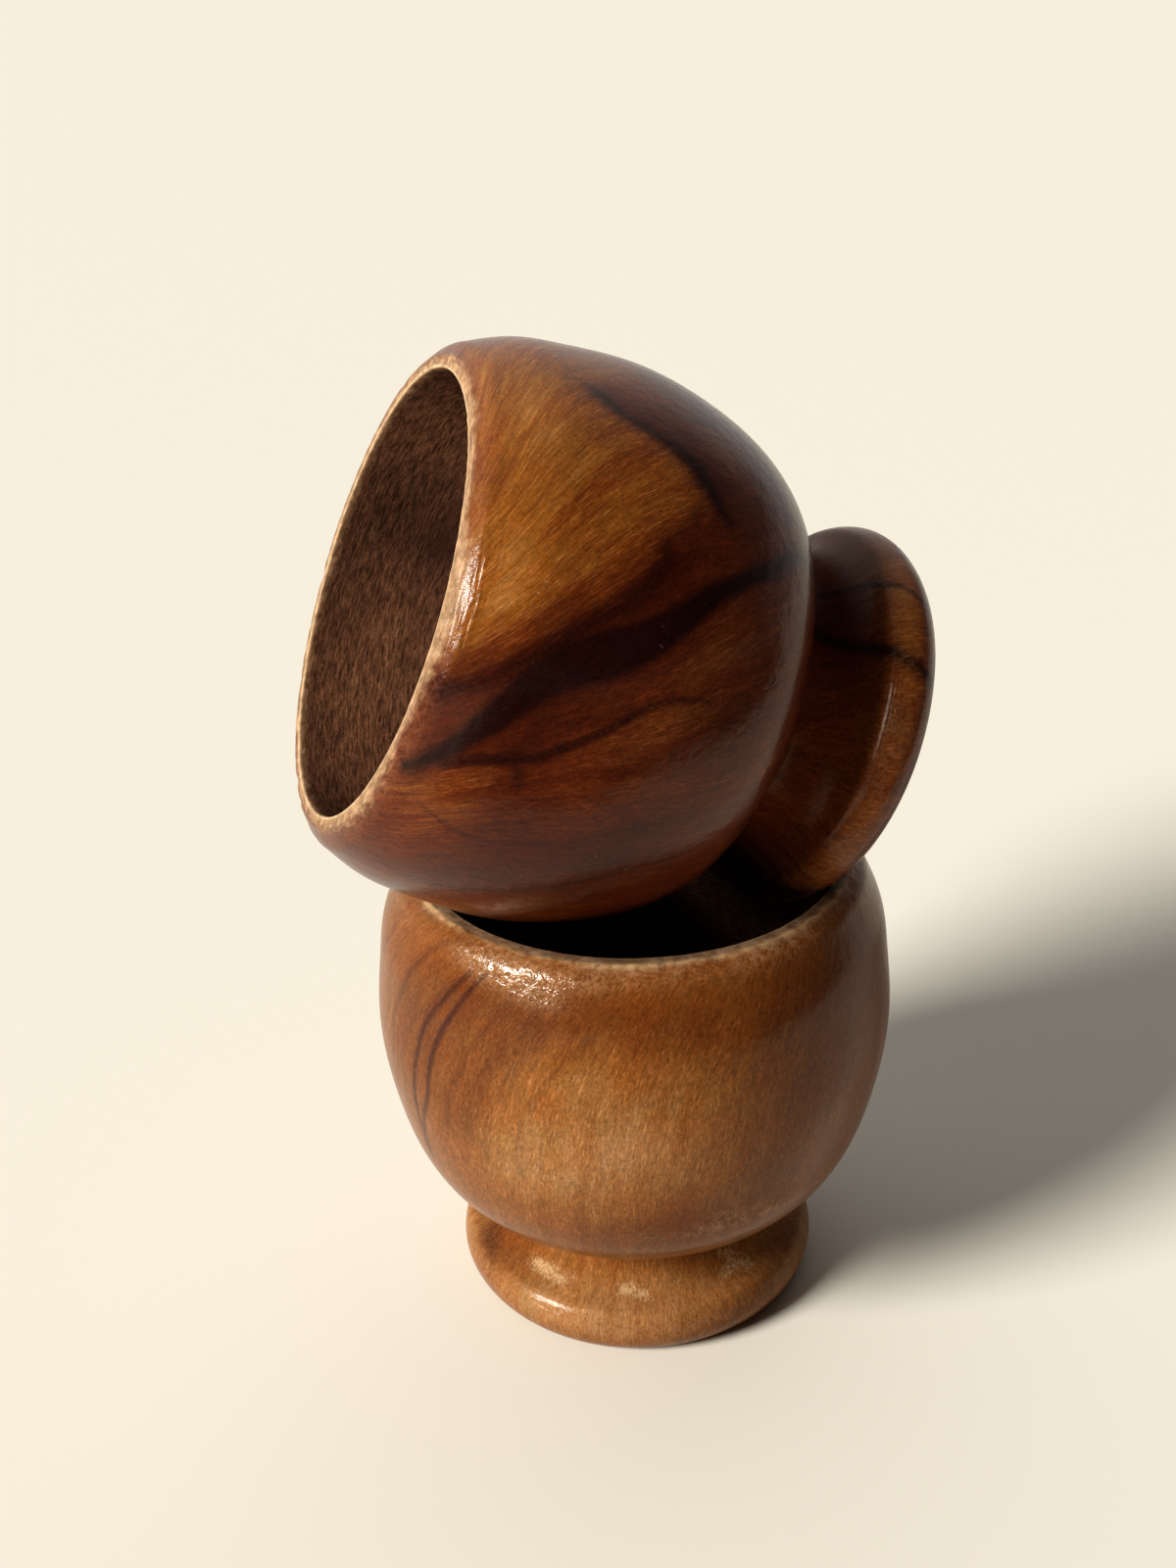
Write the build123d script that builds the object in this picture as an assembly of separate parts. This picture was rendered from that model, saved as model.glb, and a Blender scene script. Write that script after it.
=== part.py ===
from build123d import *
import math
import os

# A pair of turned wooden egg cups, stacked: the lower cup stands on its foot and the
# upper cup lies on its side across the lower cup's mouth.
# Each cup is one piece of wood turned on a lathe: a rounded foot, a cove, a round bowl
# that closes in to a thin lip, and an egg-shaped hollow. The two were turned by hand to
# the same pattern, so their sizes differ by a few tenths of a millimetre.
# Millimetres, +Z up. Origin: centre of the lower cup's base, on the surface it stands on.

# ---- driving dimensions, as (radius, height above the base) ---------------------------
BASE_R = 17.35              # flat base
FOOT_EDGE = (18.35, 0.70)   # rounded lower edge of the foot
FOOT_WIDEST = (19.26, 3.05)
FOOT_TOP = (18.52, 5.05)    # rounded upper edge of the foot
COVE_EDGE = (17.30, 5.74)   # where the cove begins
COVE_MID = (15.42, 7.30)
NECK_R = 14.20              # narrowest point
MOUTH_R = 20.70             # clear radius of the mouth
LIP_FLAT_IN = 20.95         # flat top of the lip, inner radius
LIP_FLAT_OUT = 21.78        # flat top of the lip, outer radius
LIP_EDGE_DROP = 0.65        # inner edge of the lip is rounded over this height
HOLLOW_DEPTH = 31.8         # depth of the egg hollow below the lip

LOWER_H = 49.50             # height of the lower cup
LOWER_NECK_Z = 10.10
LOWER_BOWL = [              # outside of the bowl, from above the neck to the lip
    (15.26, 11.65),
    (18.80, 13.12),
    (23.39, 18.21),
    (25.66, 25.26),
    (26.60, 33.08),
    (26.00, 40.13),
    (24.91, 45.22),
    (23.59, 48.15),
    (22.50, 49.12),
]
UPPER_H = 48.92             # height of the upper cup
UPPER_NECK_Z = 10.95
UPPER_BOWL = [
    (15.25, 12.62),
    (18.62, 14.02),
    (23.12, 18.62),
    (25.66, 25.30),
    (26.70, 32.85),
    (26.08, 39.72),
    (24.92, 44.70),
    (23.54, 47.58),
    (22.46, 48.54),
]
# how the upper cup lies on the lower one
UPPER_AZIMUTH = 197.15      # degrees from +X, the way its mouth points seen from above
UPPER_ELEVATION = 23.07     # degrees, how far its mouth points up
UPPER_FOOT_OUT = 21.141     # centre of its base, how far out from the lower cup's axis
UPPER_FOOT_Z = 60.710       # centre of its base, height

# directions in which the curves of the profile meet
FOOT_START = (0.96, 0, 0.28)
COVE_START = (-0.92, 0, 0.39)
BOWL_START = (0.865, 0, 0.50)
BOWL_END = (-0.80, 0, 0.60)


def at(p):
    """A profile point (radius, height) in the XZ plane."""
    return (p[0], 0.0, p[1])


def cup_profile(height, neck_z, bowl_points):
    """Closed half-section of one cup in the XZ plane, from the axis and back to it."""
    base = Line(at((0, 0)), at((BASE_R, 0)))
    foot = Spline(
        at((BASE_R, 0)), at(FOOT_EDGE), at(FOOT_WIDEST), at(FOOT_TOP), at(COVE_EDGE),
        tangents=(FOOT_START, COVE_START),
    )
    cove = Spline(
        at(COVE_EDGE), at(COVE_MID), at((NECK_R, neck_z)), at(bowl_points[0]),
        tangents=(COVE_START, BOWL_START),
    )
    bowl = Spline(*[at(p) for p in bowl_points], tangents=(BOWL_START, BOWL_END))
    lip_round = Spline(
        at(bowl_points[-1]), at((LIP_FLAT_OUT, height)),
        tangents=(BOWL_END, (-1, 0, 0)),
    )
    lip_flat = Line(at((LIP_FLAT_OUT, height)), at((LIP_FLAT_IN, height)))
    mouth_z = height - LIP_EDGE_DROP
    lip_in = Spline(
        at((LIP_FLAT_IN, height)), at((MOUTH_R, mouth_z)),
        tangents=((-1, 0, 0), (0, 0, -1)),
    )
    # egg-shaped hollow: nearly straight below the mouth, round at the bottom
    d = HOLLOW_DEPTH
    hollow = Spline(
        at((MOUTH_R, mouth_z)),
        at((MOUTH_R + 0.10, height - 0.175 * d)),
        at((MOUTH_R - 0.35, height - 0.405 * d)),
        at((0.884 * MOUTH_R, height - 0.665 * d)),
        at((0.657 * MOUTH_R, height - 0.876 * d)),
        at((0.348 * MOUTH_R, height - 0.972 * d)),
        at((0, height - d)),
        tangents=((0, 0, -1), (-1, 0, 0)),
    )
    axis = Line(at((0, height - d)), at((0, 0)))
    return [base, foot, cove, bowl, lip_round, lip_flat, lip_in, hollow, axis]


def cup(height, neck_z, bowl_points):
    """One egg cup standing on its base at the origin."""
    face = Face(Wire(cup_profile(height, neck_z, bowl_points)))
    return Solid(revolve(face, axis=Axis.Z, revolution_arc=360).solids()[0].wrapped)


def upper_place():
    """Where the upper cup lies: its base centre, and its axis from base to mouth."""
    az, el = math.radians(UPPER_AZIMUTH), math.radians(UPPER_ELEVATION)
    axis = Vector(math.cos(el) * math.cos(az), math.cos(el) * math.sin(az), math.sin(el))
    side = Vector(0, 0, 1).cross(axis).normalized()
    foot = (-UPPER_FOOT_OUT * math.cos(az), -UPPER_FOOT_OUT * math.sin(az), UPPER_FOOT_Z)
    return Plane(origin=foot, x_dir=side, z_dir=axis).location


def main():
    os.makedirs("parts", exist_ok=True)
    lower = cup(LOWER_H, LOWER_NECK_Z, LOWER_BOWL)
    upper = cup(UPPER_H, UPPER_NECK_Z, UPPER_BOWL).moved(upper_place())
    lower.label = "lower_egg_cup"
    upper.label = "upper_egg_cup"
    export_step(lower, "parts/lower_egg_cup.step")
    export_step(upper, "parts/upper_egg_cup.step")
    print("volumes mm3", round(lower.volume, 1), round(upper.volume, 1), lower.is_valid, upper.is_valid)


if __name__ == "__main__":
    main()
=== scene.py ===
import math

import bpy
import numpy as np
from mathutils import Matrix, Vector


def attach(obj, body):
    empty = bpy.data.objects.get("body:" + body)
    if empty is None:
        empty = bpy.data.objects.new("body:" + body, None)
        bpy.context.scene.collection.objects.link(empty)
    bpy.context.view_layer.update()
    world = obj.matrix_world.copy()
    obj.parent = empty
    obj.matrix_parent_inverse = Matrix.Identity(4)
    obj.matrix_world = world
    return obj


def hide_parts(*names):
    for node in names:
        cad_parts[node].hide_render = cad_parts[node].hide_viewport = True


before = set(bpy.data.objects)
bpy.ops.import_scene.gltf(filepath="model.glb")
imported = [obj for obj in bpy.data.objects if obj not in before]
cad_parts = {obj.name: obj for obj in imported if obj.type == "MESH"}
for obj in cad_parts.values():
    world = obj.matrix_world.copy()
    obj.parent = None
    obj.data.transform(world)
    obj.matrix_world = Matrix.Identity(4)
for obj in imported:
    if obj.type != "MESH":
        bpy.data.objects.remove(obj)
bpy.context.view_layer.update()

MM = 0.001
RING = 448            # points round each cup
REF_R = 26.0          # radius that the grain is measured on, mm


# ---------------------------------------------------------------- colours

def lin(r, g, b):
    """8-bit sRGB to scene-linear."""
    out = []
    for c in (r, g, b):
        c /= 255.0
        out.append(c / 12.92 if c <= 0.04045 else ((c + 0.055) / 1.055) ** 2.4)
    return tuple(out) + (1.0,)


# ---------------------------------------------------------------- turned profile

MOUTH_R, HOLLOW = 20.70, 31.8
FOOT_T, COVE_T, BOWL_T0, BOWL_T1 = (0.96, 0.28), (-0.92, 0.39), (0.865, 0.50), (-0.80, 0.60)

LOWER = dict(
    height=49.50, neck_z=10.10,
    bowl=[(15.26, 11.65), (18.80, 13.12), (23.39, 18.21), (25.66, 25.26), (26.60, 33.08),
          (26.00, 40.13), (24.91, 45.22), (23.59, 48.15), (22.50, 49.12)],
    cove_speed=(1.1049, 0.9672), bowl_speed=(0.9465, 2.9918), lip_speed=(0.9642, 1.3506), hollow_speed=(0.9951, 1.4884))
UPPER = dict(
    height=48.92, neck_z=10.95,
    bowl=[(15.25, 12.62), (18.62, 14.02), (23.12, 18.62), (25.66, 25.30), (26.70, 32.85),
          (26.08, 39.72), (24.92, 44.70), (23.54, 47.58), (22.46, 48.54)],
    cove_speed=(1.1107, 1.1567), bowl_speed=(0.9571, 2.7415), lip_speed=(0.9641, 1.3609), hollow_speed=(0.9951, 1.4754))


def curve(points, t0, t1, speed, n):
    """Cubic spline through the points with the two end directions, n points evenly along it."""
    p = np.array(points, float)
    h = np.linalg.norm(np.diff(p, axis=0), axis=1)
    k = len(p)
    a, b = np.zeros((k, k)), np.zeros((k, 2))
    a[0, 0] = a[-1, -1] = 1
    b[0] = speed[0] * np.array(t0) / np.linalg.norm(t0)
    b[-1] = speed[1] * np.array(t1) / np.linalg.norm(t1)
    for i in range(1, k - 1):
        a[i, i - 1], a[i, i], a[i, i + 1] = 1 / h[i - 1], 2 * (1 / h[i - 1] + 1 / h[i]), 1 / h[i]
        b[i] = 3 * ((p[i] - p[i - 1]) / h[i - 1] ** 2 + (p[i + 1] - p[i]) / h[i] ** 2)
    m = np.linalg.solve(a, b)
    u = np.r_[0, np.cumsum(h)]
    x = np.linspace(0, u[-1], 4000)
    j = np.clip(np.searchsorted(u, x, side="right") - 1, 0, k - 2)
    t, w = ((x - u[j]) / h[j])[:, None], h[j][:, None]
    y = ((2 * t**3 - 3 * t**2 + 1) * p[j] + (t**3 - 2 * t**2 + t) * w * m[j]
         + (-2 * t**3 + 3 * t**2) * p[j + 1] + (t**3 - t**2) * w * m[j + 1])
    s = np.r_[0, np.cumsum(np.linalg.norm(np.diff(y, axis=0), axis=1))]
    q = np.linspace(0, s[-1], n)
    return np.stack([np.interp(q, s, y[:, 0]), np.interp(q, s, y[:, 1])], 1)


def turned_profile(c):
    """(r, z) round the half section from the middle of the base to the bottom of the hollow, and which stretch each point is on."""
    top, d, m = c["height"], HOLLOW, MOUTH_R
    base_r = 17.35 * np.sin(np.linspace(0.04, 0.5 * math.pi, 11))
    runs = [
        ("base", np.stack([base_r, np.zeros(11)], 1)),
        ("foot", curve([(17.35, 0), (18.35, 0.70), (19.26, 3.05), (18.52, 5.05), (17.30, 5.74)], FOOT_T, COVE_T, (1.1501, 2.0298), 31)),
        ("cove", curve([(17.30, 5.74), (15.42, 7.30), (14.20, c["neck_z"]), c["bowl"][0]], COVE_T, BOWL_T0, c["cove_speed"], 25)),
        ("bowl", curve(c["bowl"], BOWL_T0, BOWL_T1, c["bowl_speed"], 85)),
        ("lip", curve([c["bowl"][-1], (21.78, top)], BOWL_T1, (-1, 0), c["lip_speed"], 10)),
        ("lip", np.stack([np.linspace(21.78, 20.95, 7), np.full(7, top)], 1)),
        ("lip", curve([(20.95, top), (m, top - 0.65)], (-1, 0), (0, -1), (1.2952, 1.2792), 9)),
        ("hollow", curve([(m, top - 0.65), (m + 0.10, top - 0.175 * d), (m - 0.35, top - 0.405 * d), (0.884 * m, top - 0.665 * d),
                          (0.657 * m, top - 0.876 * d), (0.348 * m, top - 0.972 * d), (0, top - d)], (0, -1), (-1, 0), c["hollow_speed"], 46)[:-1]),
    ]
    pts, names = [], []
    for name, p in runs:
        if pts:
            p = p[1:]
        pts += list(p)
        names += [name] * len(p)
    return np.array(pts), np.array(names)


# ---------------------------------------------------------------- smooth fields on the turned surface

def waves(x, size, seed, octaves=1):
    """Smooth seeded noise, about -1 to 1, from sums of plane waves. x is (..., 3) in mm, size the feature size in mm."""
    rng = np.random.default_rng(seed)
    out, amp, total = np.zeros(x.shape[:-1]), 1.0, 0.0
    for _ in range(octaves):
        acc = np.zeros(x.shape[:-1])
        for _ in range(14):
            k = rng.normal(size=3)
            k *= (2 * math.pi / size) * rng.uniform(0.6, 1.3) / np.linalg.norm(k)
            acc += np.sin(x @ k + rng.uniform(0, 2 * math.pi))
        out += amp * acc / math.sqrt(14 / 2) * 0.7
        total += amp
        amp *= 0.55
        size *= 0.5
    return out / total


def wrap(deg):
    return (np.asarray(deg) + 180.0) % 360.0 - 180.0


def step(a, b, x):
    t = np.clip((x - a) / (b - a), 0, 1)
    return t * t * (3 - 2 * t)


def rounded(line, parts=5):
    """A traced line made smooth: Catmull-Rom through its points, each (angle, height, half width)."""
    p = np.array(line, float)
    p[:, 0] = np.degrees(np.unwrap(np.radians(p[:, 0])))
    q = np.vstack([2 * p[0] - p[1], p, 2 * p[-1] - p[-2]])
    out = []
    for i in range(1, len(q) - 2):
        for t in np.arange(parts) / parts:
            out.append(0.5 * (2 * q[i] + (q[i + 1] - q[i - 1]) * t + (2 * q[i - 1] - 5 * q[i] + 4 * q[i + 1] - q[i + 2]) * t**2
                              + (3 * q[i] - q[i - 1] - 3 * q[i + 1] + q[i + 2]) * t**3))
    out.append(q[-2])
    out = np.array(out)
    out[:, 2] = np.maximum(out[:, 2], 0.02)
    return out


class Surface:
    """One cup's grid: profile point by angle, with the lengths that the figure and the wear are laid out in."""

    def __init__(self, shape):
        self.pts, self.run = turned_profile(shape)
        d = np.diff(self.pts, axis=0)
        s = np.r_[0, np.cumsum(np.linalg.norm(d, axis=1))]
        first = np.argmax(self.run == "foot")
        self.v = (s - s[first - 1])[:, None]
        t = np.gradient(self.pts, s, axis=0)
        t /= np.linalg.norm(t, axis=1)[:, None]
        self.n = np.stack([t[:, 1], -t[:, 0]], 1)
        self.r, self.z = self.pts[:, :1], self.pts[:, 1:]
        self.th = np.degrees(np.arange(RING) * 2 * math.pi / RING)[None]
        self.rows = len(self.pts)
        lip = np.where(self.run == "lip")[0]
        top = shape["height"]
        on_top = np.where(self.z[:, 0] > top - 1e-6)[0]
        self.v_lip_out, self.v_lip_in = self.v[on_top[0], 0], self.v[on_top[-1], 0]
        self.outer = slice(first, on_top[0] + 1)
        self.inside = step(0.25, 1.1, self.v - self.v_lip_in) + 0 * self.th
        c, si = np.cos(np.radians(self.th)), np.sin(np.radians(self.th))
        self.round = np.stack([REF_R * c + 0 * self.v, REF_R * si + 0 * self.v, self.v + 0 * self.th], -1)

    def v_of(self, z):
        return np.interp(z, self.z[self.outer, 0], self.v[self.outer, 0])

    def v_in(self, z):
        k = np.where(self.run == "hollow")[0]
        return np.interp(-np.asarray(z, float), -self.z[k, 0], self.v[k, 0])

    def lines(self, traced, inside=False):
        """For traced lines [(softness mm, strength, points)]: how far each point is outside the nearest, in softnesses, and that line's strength."""
        best = np.full((self.rows, RING), 60.0)
        power = np.zeros((self.rows, RING))
        for soft, strength, line in traced:
            p = rounded(line)
            pv = self.v_in(p[:, 1]) if inside else self.v_of(p[:, 1])
            for i in range(len(p) - 1):
                ax, ay = self.r * np.radians(wrap(p[i, 0] - self.th)), pv[i] - self.v
                dx, dy = self.r * math.radians(p[i + 1, 0] - p[i, 0]), pv[i + 1] - pv[i]
                t = np.clip(-(ax * dx + ay * dy) / (dx * dx + dy * dy + 1e-9), 0, 1)
                d = np.hypot(ax + t * dx, ay + t * dy)
                sd = (d - (p[i, 2] + t * (p[i + 1, 2] - p[i, 2]))) / soft
                near = sd < best
                best = np.where(near, sd, best)
                power = np.where(near, strength, power)
        return best, power

    def spots(self, list_of, inside=False):
        """Sum of soft spots (angle, height, half length round, half length along, value)."""
        out = np.zeros((self.rows, RING))
        for th, z, a, b, val in list_of:
            v0 = self.v_in(z) if inside else self.v_of(z)
            x, y = self.r * np.radians(wrap(self.th - th)), self.v - v0
            out += val * np.exp(-(x / a) ** 2 - (y / b) ** 2)
        return out

    def patch(self, outline):
        """Signed distance in mm to a closed outline of (angle, height), above 0 inside it."""
        p = np.array([(a, float(self.v_of(z))) for a, z in outline])
        best = np.full((self.rows, RING), 1e9)
        inside = np.zeros((self.rows, RING), bool)
        mid = p[:, 0].mean()
        x = REF_R * np.radians(wrap(self.th - mid)) + 0 * self.v
        y = self.v + 0 * self.th
        px = REF_R * np.radians(p[:, 0] - mid)
        for i in range(len(p)):
            k = (i + 1) % len(p)
            ax, ay, bx, by = px[i], p[i, 1], px[k], p[k, 1]
            dx, dy = bx - ax, by - ay
            t = np.clip(((x - ax) * dx + (y - ay) * dy) / (dx * dx + dy * dy + 1e-9), 0, 1)
            best = np.minimum(best, np.hypot(x - ax - t * dx, y - ay - t * dy))
            cross = ((ay > y) != (by > y)) & (x < (bx - ax) * (y - ay) / (by - ay + 1e-12) + ax)
            inside ^= cross
        return np.where(inside, best, -best)


# ---------------------------------------------------------------- mesh of a cup

def cup_mesh(name, s, depth, fields, matrix):
    """Closed lathe mesh of a cup, its surface let in by depth (mm, never proud), with point fields for the material."""
    r = s.r - s.n[:, :1] * depth
    z = s.z - s.n[:, 1:] * depth
    c, si = np.cos(np.radians(s.th)), np.sin(np.radians(s.th))
    xyz = np.stack([r * c, r * si, z], -1).reshape(-1, 3)
    first, last = z[0].mean(), z[-1].mean() - 0.01
    xyz = np.vstack([xyz, [[0, 0, first], [0, 0, last]]])
    i, j = np.meshgrid(np.arange(s.rows - 1), np.arange(RING), indexing="ij")
    k = (j + 1) % RING
    quads = np.stack([i * RING + j, i * RING + k, (i + 1) * RING + k, (i + 1) * RING + j], -1).reshape(-1, 4)
    faces = [tuple(q) for q in quads.tolist()]
    a, b, n = s.rows * RING, s.rows * RING + 1, (s.rows - 1) * RING
    for q in range(RING):
        w = (q + 1) % RING
        faces.append((a, w, q))
        faces.append((b, n + q, n + w))
    mesh = bpy.data.meshes.new(name)
    m = np.array(matrix, float)
    world = (xyz @ m[:3, :3].T + m[:3, 3]) * MM
    mesh.from_pydata(world.tolist(), [], faces)
    mesh.update()
    mesh.validate()
    mesh.polygons.foreach_set("use_smooth", [True] * len(mesh.polygons))

    def put(key, data):
        if data.ndim == 3:
            flat = np.vstack([data.reshape(-1, 3), data[0].mean(0), data[-1].mean(0)])
            at = mesh.attributes.new(key, "FLOAT_VECTOR", "POINT")
            at.data.foreach_set("vector", flat.astype(np.float32).ravel())
        else:
            flat = np.r_[data.ravel(), data[0].mean(), data[-1].mean()]
            at = mesh.attributes.new(key, "FLOAT", "POINT")
            at.data.foreach_set("value", flat.astype(np.float32))

    at = mesh.attributes.new("cup", "FLOAT_VECTOR", "POINT")
    at.data.foreach_set("vector", xyz.astype(np.float32).ravel())
    for key, data in fields.items():
        put(key, data)
    obj = bpy.data.objects.new(name, mesh)
    bpy.context.scene.collection.objects.link(obj)
    return obj


def dents(s, seed, count, run_names):
    """Shallow knocks scattered over the outside, in mm of depth."""
    rng = np.random.default_rng(seed)
    out = np.zeros((s.rows, RING))
    rows = np.where(np.isin(s.run, run_names))[0]
    for _ in range(count):
        i, th = rng.choice(rows), rng.uniform(0, 360)
        a, b = rng.uniform(0.5, 1.5), rng.uniform(0.5, 1.7)
        turn = rng.uniform(0, math.pi)
        x, y = s.r * np.radians(wrap(s.th - th)), s.v - s.v[i, 0]
        u, w = x * math.cos(turn) + y * math.sin(turn), -x * math.sin(turn) + y * math.cos(turn)
        out += rng.uniform(0.015, 0.05) * np.exp(-(u / a) ** 2 - (w / b) ** 2)
    return out


def lip_relief(s, seed, nicks):
    """Uneven wear of the rim: a wandering edge and small nicks, in mm of depth."""
    near = np.exp(-((s.v - s.v_lip_out + 0.25) / 0.75) ** 2) + 0 * s.th
    top = step(-0.3, 0.1, s.v - s.v_lip_out) * (1 - step(0.0, 0.4, s.v - s.v_lip_in))
    ring = np.stack([22 * np.cos(np.radians(s.th)), 22 * np.sin(np.radians(s.th)), 0 * s.th], -1)
    wander = 0.5 + 0.5 * waves(ring, 9.0, seed, 3)
    rough = 0.5 + 0.5 * waves(s.round, 1.6, seed + 1, 2)
    out = near * (0.05 * wander + 0.05 * rough) + top * (0.03 * wander + 0.035 * rough)
    rng = np.random.default_rng(seed + 2)
    for _ in range(nicks):
        th, w, h = rng.uniform(0, 360), rng.uniform(0.35, 0.9), rng.uniform(0.04, 0.13)
        v0 = s.v_lip_out + rng.uniform(-0.7, 0.5)
        x = s.r * np.radians(wrap(s.th - th))
        out += h * np.exp(-(x / w) ** 2 - ((s.v - v0) / rng.uniform(0.3, 0.6)) ** 2)
    return out


def turning_marks(s, seed):
    """Fine rings left by the tool in the foot, the cove and under the base."""
    where = np.zeros(s.rows)
    where[np.isin(s.run, ["foot", "cove"])] = 1.0
    where[s.run == "base"] = 0.6
    where[s.run == "hollow"] = 0.8
    bowl = np.where(s.run == "bowl")[0]
    where[bowl] = np.exp(-np.arange(len(bowl)) / 10.0)
    drift = waves(s.round, 14.0, seed, 1)
    return where[:, None] * 0.010 * (0.5 + 0.5 * np.sin(2 * math.pi * s.v / 0.95 + 1.5 * drift))


# ---------------------------------------------------------------- node helper

class Tree:
    def __init__(self, name):
        self.mat = bpy.data.materials.new(name)
        self.mat.use_nodes = True
        self.t = self.mat.node_tree
        self.t.nodes.clear()
        self.out = self.t.nodes.new("ShaderNodeOutputMaterial")
        self.bsdf = self.t.nodes.new("ShaderNodeBsdfPrincipled")
        self.t.links.new(self.bsdf.outputs[0], self.out.inputs[0])

    def put(self, sock, value):
        if isinstance(value, bpy.types.NodeSocket):
            self.t.links.new(value, sock)
        elif value is not None:
            sock.default_value = value

    def attr(self, name, vector=False):
        n = self.t.nodes.new("ShaderNodeAttribute")
        n.attribute_name = name
        return n.outputs["Vector" if vector else "Fac"]

    def math(self, op, a, b=None, clamp=False):
        n = self.t.nodes.new("ShaderNodeMath")
        n.operation, n.use_clamp = op, clamp
        self.put(n.inputs[0], a)
        if b is not None:
            self.put(n.inputs[1], b)
        return n.outputs[0]

    def add(self, a, b):
        return self.math("ADD", a, b)

    def mul(self, a, b):
        return self.math("MULTIPLY", a, b)

    def scale(self, vec, by):
        n = self.t.nodes.new("ShaderNodeVectorMath")
        n.operation = "MULTIPLY"
        self.put(n.inputs[0], vec)
        n.inputs[1].default_value = by
        return n.outputs[0]

    def vadd(self, a, b):
        n = self.t.nodes.new("ShaderNodeVectorMath")
        n.operation = "ADD"
        self.put(n.inputs[0], a)
        self.put(n.inputs[1], b)
        return n.outputs[0]

    def noise(self, vec, scale=1.0, detail=2.0, rough=0.5, distort=0.0, colour=False):
        n = self.t.nodes.new("ShaderNodeTexNoise")
        self.put(n.inputs["Vector"], vec)
        n.inputs["Scale"].default_value = scale
        n.inputs["Detail"].default_value = detail
        n.inputs["Roughness"].default_value = rough
        n.inputs["Distortion"].default_value = distort
        return n.outputs["Color" if colour else "Fac"]

    def cells(self, vec, scale=1.0, feature="F1", out="Distance", smooth=None):
        n = self.t.nodes.new("ShaderNodeTexVoronoi")
        n.feature = feature
        self.put(n.inputs["Vector"], vec)
        n.inputs["Scale"].default_value = scale
        if smooth is not None and "Smoothness" in n.inputs:
            n.inputs["Smoothness"].default_value = smooth
        return n.outputs[out]

    def ramp(self, x, a, b, c=0.0, d=1.0, smooth=True):
        n = self.t.nodes.new("ShaderNodeMapRange")
        n.interpolation_type = "SMOOTHSTEP" if smooth else "LINEAR"
        n.clamp = True
        self.put(n.inputs["Value"], x)
        for key, val in (("From Min", a), ("From Max", b), ("To Min", c), ("To Max", d)):
            n.inputs[key].default_value = val
        return n.outputs["Result"]

    def mix(self, fac, a, b, mode="MIX"):
        n = self.t.nodes.new("ShaderNodeMix")
        n.data_type, n.blend_type = "RGBA", mode
        self.put(n.inputs[0], fac)
        self.put(n.inputs[6], a)
        self.put(n.inputs[7], b)
        return n.outputs[2]

    def stops(self, x, colours):
        n = self.t.nodes.new("ShaderNodeValToRGB")
        e = n.color_ramp.elements
        while len(e) < len(colours):
            e.new(0.5)
        for k, (pos, col) in enumerate(colours):
            e[k].position = pos
            e[k].color = col
        self.put(n.inputs[0], x)
        return n.outputs[0]

    def bump(self, height, distance, strength=1.0, normal=None):
        n = self.t.nodes.new("ShaderNodeBump")
        n.inputs["Distance"].default_value = distance
        n.inputs["Strength"].default_value = strength
        self.put(n.inputs["Height"], height)
        if normal is not None:
            self.put(n.inputs["Normal"], normal)
        return n.outputs[0]


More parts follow.
